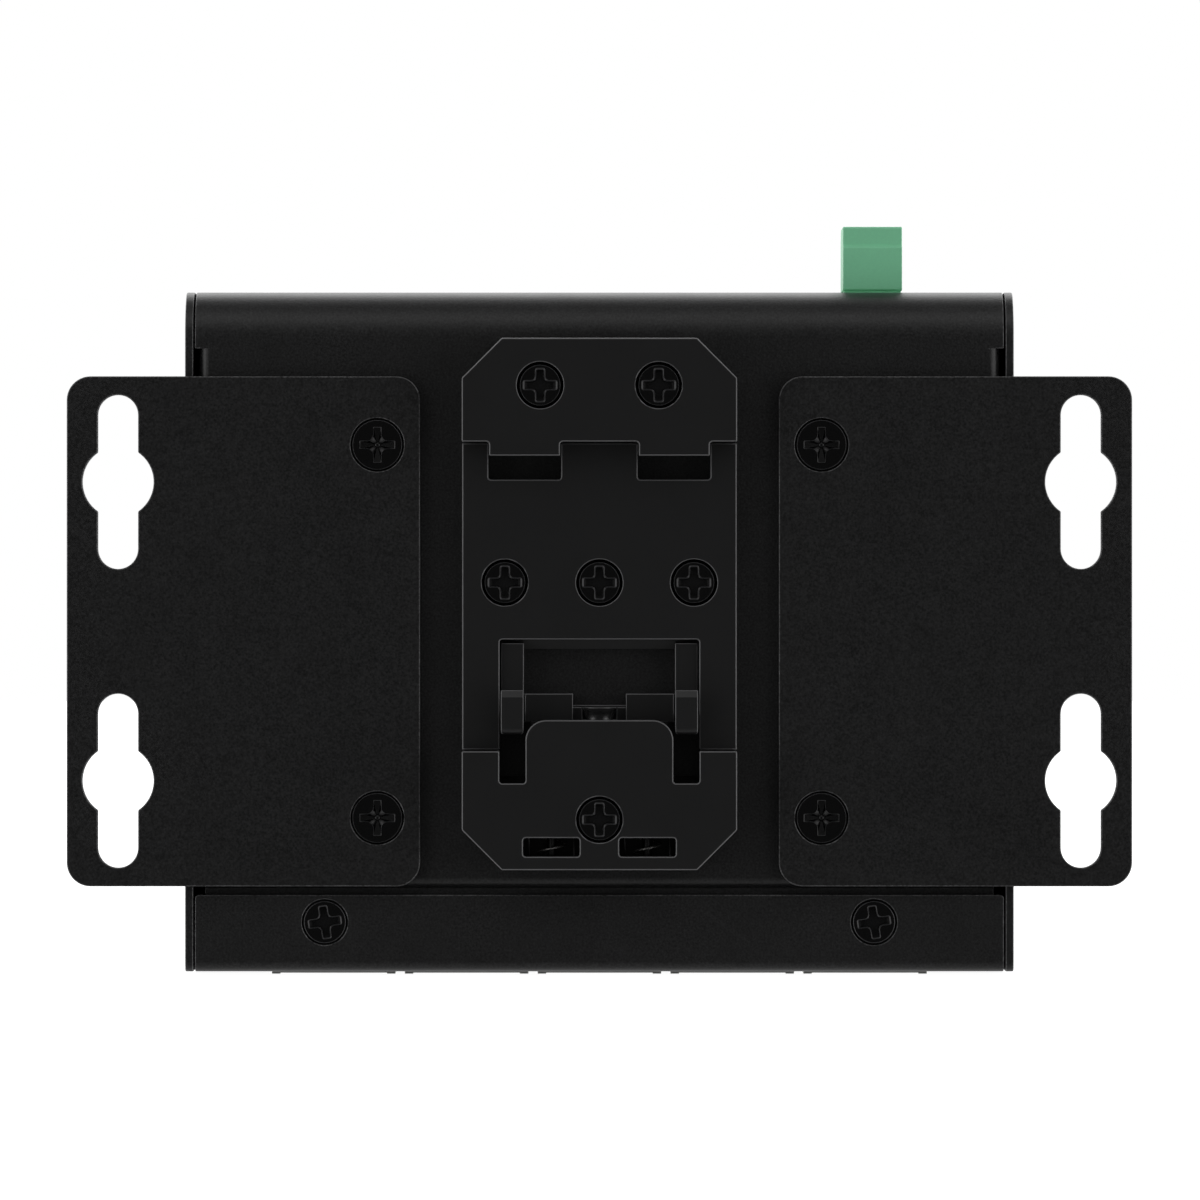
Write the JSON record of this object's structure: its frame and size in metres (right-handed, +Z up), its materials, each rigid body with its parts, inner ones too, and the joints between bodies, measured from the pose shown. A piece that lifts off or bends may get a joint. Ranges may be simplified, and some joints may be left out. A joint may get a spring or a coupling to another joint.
{
  "type": "din rail ethernet switch",
  "caption": "Small metal network switch on its mounting side: folded sheet case, rail clip with a sprung latch, wall brackets with keyholes, ports below and a plug-in supply terminal.",
  "frame": {"origin": "middle of the bounding box's base, level with the port shields' lips", "axes": "+Z up as it hangs on the rail, +Y from the rail to the switch's face, +X to the right for someone who looks at the mounting side"},
  "size_m": [0.1298, 0.035, 0.0917],
  "materials": {
    "powder_coat": "black powder coat, satin",
    "clip_black": "black painted die casting, satin",
    "black_steel": "black oxide",
    "bright_steel": "bright",
    "tin_plate": "tin plated sheet",
    "port_plastic": "moulded, black",
    "contact_gold": "gold plated",
    "board_green": "solder mask",
    "terminal_green": "moulded, green",
    "chip_black": "moulded epoxy",
    "ferrite_grey": "pressed powder",
    "can_silver": "drawn can",
    "pad_grey": "soft gap filler",
    "clear_plastic": "clear moulded",
    "light_white": "lens"
  },
  "bodies": {
    "switch": {"front_chassis": "powder_coat", "rear_cover": "powder_coat", "bracket_left": "powder_coat", "bracket_right": "powder_coat", "bracket_screws": "black_steel", "cover_screws": "black_steel", "clip_hook_block": "clip_black", "clip_plate": "clip_black", "clip_latch_block": "clip_black", "clip_top_screws": "black_steel", "clip_middle_screws": "black_steel", "clip_bottom_screw": "black_steel", "latch_spring_left": "bright_steel", "latch_spring_right": "bright_steel", "spring_pin_left": "bright_steel", "spring_pin_right": "bright_steel", "circuit_board": "board_green", "board_standoffs": "bright_steel", "board_screws": "bright_steel", "terminal_header": "terminal_green", "header_pins": "tin_plate", "terminal_plug": "terminal_green", "plug_clamps": "tin_plate", "plug_screws": "bright_steel", "switch_chip": "chip_black", "thermal_pad": "pad_grey", "power_inductor": "ferrite_grey", "power_capacitors": "can_silver", "power_chip": "chip_black", "crystal": "can_silver", "status_lights": "light_white", "light_guide": "clear_plastic", "port_shield_1": "tin_plate", "port_insert_1": "port_plastic", "port_contacts_1": "contact_gold", "port_transformer_1": "chip_black", "port_shield_2": "tin_plate", "port_insert_2": "port_plastic", "port_contacts_2": "contact_gold", "port_transformer_2": "chip_black", "port_shield_3": "tin_plate", "port_insert_3": "port_plastic", "port_contacts_3": "contact_gold", "port_transformer_3": "chip_black", "port_shield_4": "tin_plate", "port_insert_4": "port_plastic", "port_contacts_4": "contact_gold", "port_transformer_4": "chip_black", "port_shield_5": "tin_plate", "port_insert_5": "port_plastic", "port_contacts_5": "contact_gold", "port_transformer_5": "chip_black"},
    "latch": {"latch_slider": "clip_black", "latch_stud": "bright_steel"}
  },
  "joints": [
    {"name": "latch_slide", "type": "slide", "parent": "switch", "child": "latch", "axis": [0, 0, -1], "range_m": [0, 0.0058], "stiffness_N_per_m": 1200, "springref_m": -0.003, "deforming": ["latch_spring_left", "latch_spring_right"]}
  ]
}
